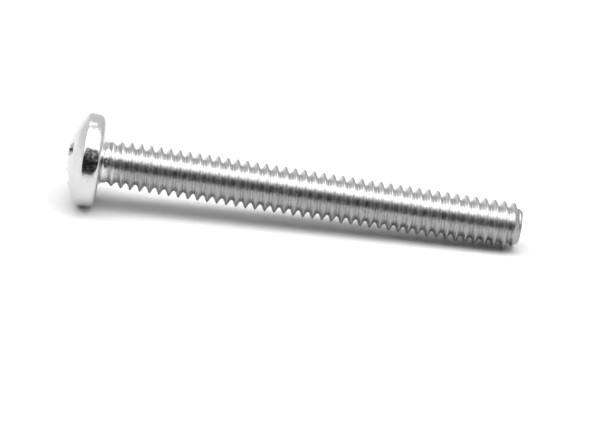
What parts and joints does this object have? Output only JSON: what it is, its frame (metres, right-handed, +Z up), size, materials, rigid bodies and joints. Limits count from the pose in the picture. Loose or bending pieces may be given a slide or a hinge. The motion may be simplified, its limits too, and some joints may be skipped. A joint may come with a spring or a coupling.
{
  "type": "machine screw",
  "caption": "Pan head machine screw with a cross recess and a full-length coarse thread, lying at rest on its head's rim and its tip.",
  "frame": {"origin": "middle of the screw's box, on the surface that it lies on", "axes": "+X from the head to the tip along the surface, with the screw's own axis 3.14 degrees below it; +Z up"},
  "size_m": [0.0602, 0.0122, 0.0123],
  "materials": {
    "steel": "bright neutral grey, plated or stainless, rolled and barrel-polished with fine scratches"
  },
  "bodies": {
    "root": {"screw": "steel"}
  },
  "joints": []
}
